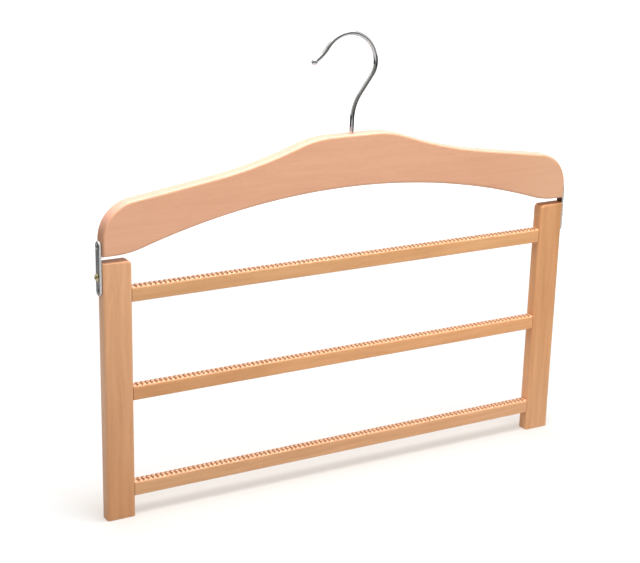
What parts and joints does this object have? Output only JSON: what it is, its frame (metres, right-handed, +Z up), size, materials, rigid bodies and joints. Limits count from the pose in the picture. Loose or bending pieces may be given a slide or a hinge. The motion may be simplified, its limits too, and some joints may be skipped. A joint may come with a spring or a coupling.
{
  "type": "trouser hanger",
  "caption": "Wooden trouser hanger: a swivelling wire hook carries a shaped arm, and a frame with notched rungs swings below it on steel straps.",
  "frame": {"origin": "on the floor, midway between the feet of the posts", "axes": "+X along the arm and rungs, with the hook open towards -X, +Y from front to back, +Z up"},
  "size_m": [0.4544, 0.013, 0.3857],
  "materials": {
    "arm_wood": "clear satin lacquer",
    "frame_wood": "clear satin lacquer",
    "chrome": "polished",
    "steel": "plain, lightly polished edges",
    "yellow_zinc": "yellow plated"
  },
  "bodies": {
    "hook": {"hook": "chrome"},
    "arm": {"arm": "arm_wood", "left_pivot_pin": "steel", "right_pivot_pin": "steel"},
    "frame": {"left_post": "frame_wood", "right_post": "frame_wood", "top_rung": "frame_wood", "middle_rung": "frame_wood", "bottom_rung": "frame_wood", "left_strap": "steel", "right_strap": "steel", "left_strap_screw": "yellow_zinc", "right_strap_screw": "yellow_zinc", "left_strap_nail": "steel", "right_strap_nail": "steel"}
  },
  "joints": [
    {"name": "hook_swivel", "type": "hinge", "parent": "hook", "child": "arm", "pos_m": [0, 0, 0.3012], "axis": [0, 0, 1], "continuous": true},
    {"name": "frame_swing", "type": "hinge", "parent": "arm", "child": "frame", "pos_m": [0, 0, 0.232], "axis": [1, 0, 0], "range_deg": [-125, 125]}
  ]
}
